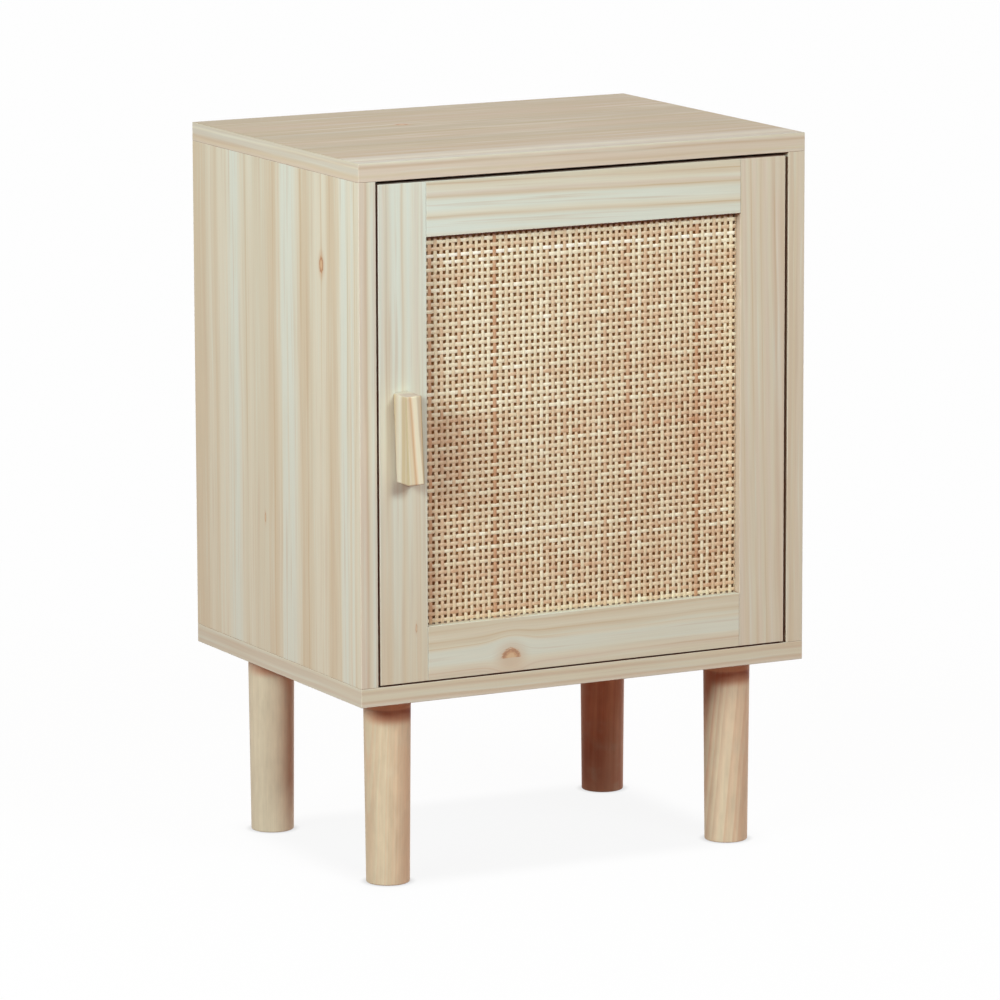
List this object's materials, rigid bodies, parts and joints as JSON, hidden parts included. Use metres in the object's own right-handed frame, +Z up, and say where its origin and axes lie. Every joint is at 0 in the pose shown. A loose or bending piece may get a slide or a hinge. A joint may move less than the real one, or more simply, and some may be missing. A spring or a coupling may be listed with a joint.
{
  "type": "storage side table with door",
  "caption": "Small box cabinet on round tapered legs, with a hinged inset door of framed woven cane, a block handle and a shelf inside, used as a bedside or side table.",
  "frame": {"origin": "on the floor, at the middle of the whole outline seen from above, handle included", "axes": "+X to the right seen from the front, +Y towards the back with the door at -Y, +Z up"},
  "size_m": [0.4, 0.3204, 0.5835],
  "materials": {
    "board_wood": "pale streaky wood-grain board, satin",
    "back_board": "thin pale board, matt",
    "door_wood": "pale streaky wood-grain board, satin",
    "leg_wood": "turned pine, clear matt lacquer",
    "handle_wood": "solid pine, clear matt lacquer",
    "dowel_wood": "plain beech",
    "cane": "natural woven cane, uncoated",
    "hardboard": "brown hardboard, smooth",
    "hinge_steel": "nickel-plated pressed steel",
    "screw_steel": "zinc-plated steel",
    "fitting_zinc": "die-cast zinc",
    "catch_plastic": "off-white moulded plastic",
    "magnet": "dark ferrite"
  },
  "bodies": {
    "cabinet": {"top_panel": "board_wood", "bottom_panel": "board_wood", "left_side_panel": "board_wood", "right_side_panel": "board_wood", "back_panel": "back_board", "shelf": "board_wood", "shelf_supports": "screw_steel", "panel_dowels": "dowel_wood", "cam_bolts": "screw_steel", "cam_locks": "fitting_zinc", "hanger_bolts": "screw_steel", "threaded_inserts": "fitting_zinc", "hinge_arm_screws": "screw_steel", "hinge_plate_screws": "screw_steel", "catch_housing": "catch_plastic", "catch_magnet": "magnet", "catch_screws": "screw_steel", "front_left_leg": "leg_wood", "front_right_leg": "leg_wood", "back_left_leg": "leg_wood", "back_right_leg": "leg_wood", "lower_hinge_arm": "hinge_steel", "upper_hinge_arm": "hinge_steel", "lower_hinge_plate": "hinge_steel", "upper_hinge_plate": "hinge_steel"},
    "door": {"door_left_stile": "door_wood", "door_right_stile": "door_wood", "door_top_rail": "door_wood", "door_bottom_rail": "door_wood", "door_dowels": "dowel_wood", "cane_webbing": "cane", "cane_retaining_strips": "door_wood", "door_backing_panel": "hardboard", "backing_pins": "screw_steel", "handle": "handle_wood", "handle_screws": "screw_steel", "hinge_pins": "hinge_steel", "hinge_cup_screws": "screw_steel", "strike_plate": "hinge_steel", "strike_screws": "screw_steel", "lower_hinge_cup": "hinge_steel", "upper_hinge_cup": "hinge_steel"}
  },
  "joints": [
    {"name": "door_swing", "type": "hinge", "parent": "cabinet", "child": "door", "pos_m": [0.168, -0.13275, 0.3685], "axis": [0, 0, 1], "range_deg": [0, 95]}
  ]
}
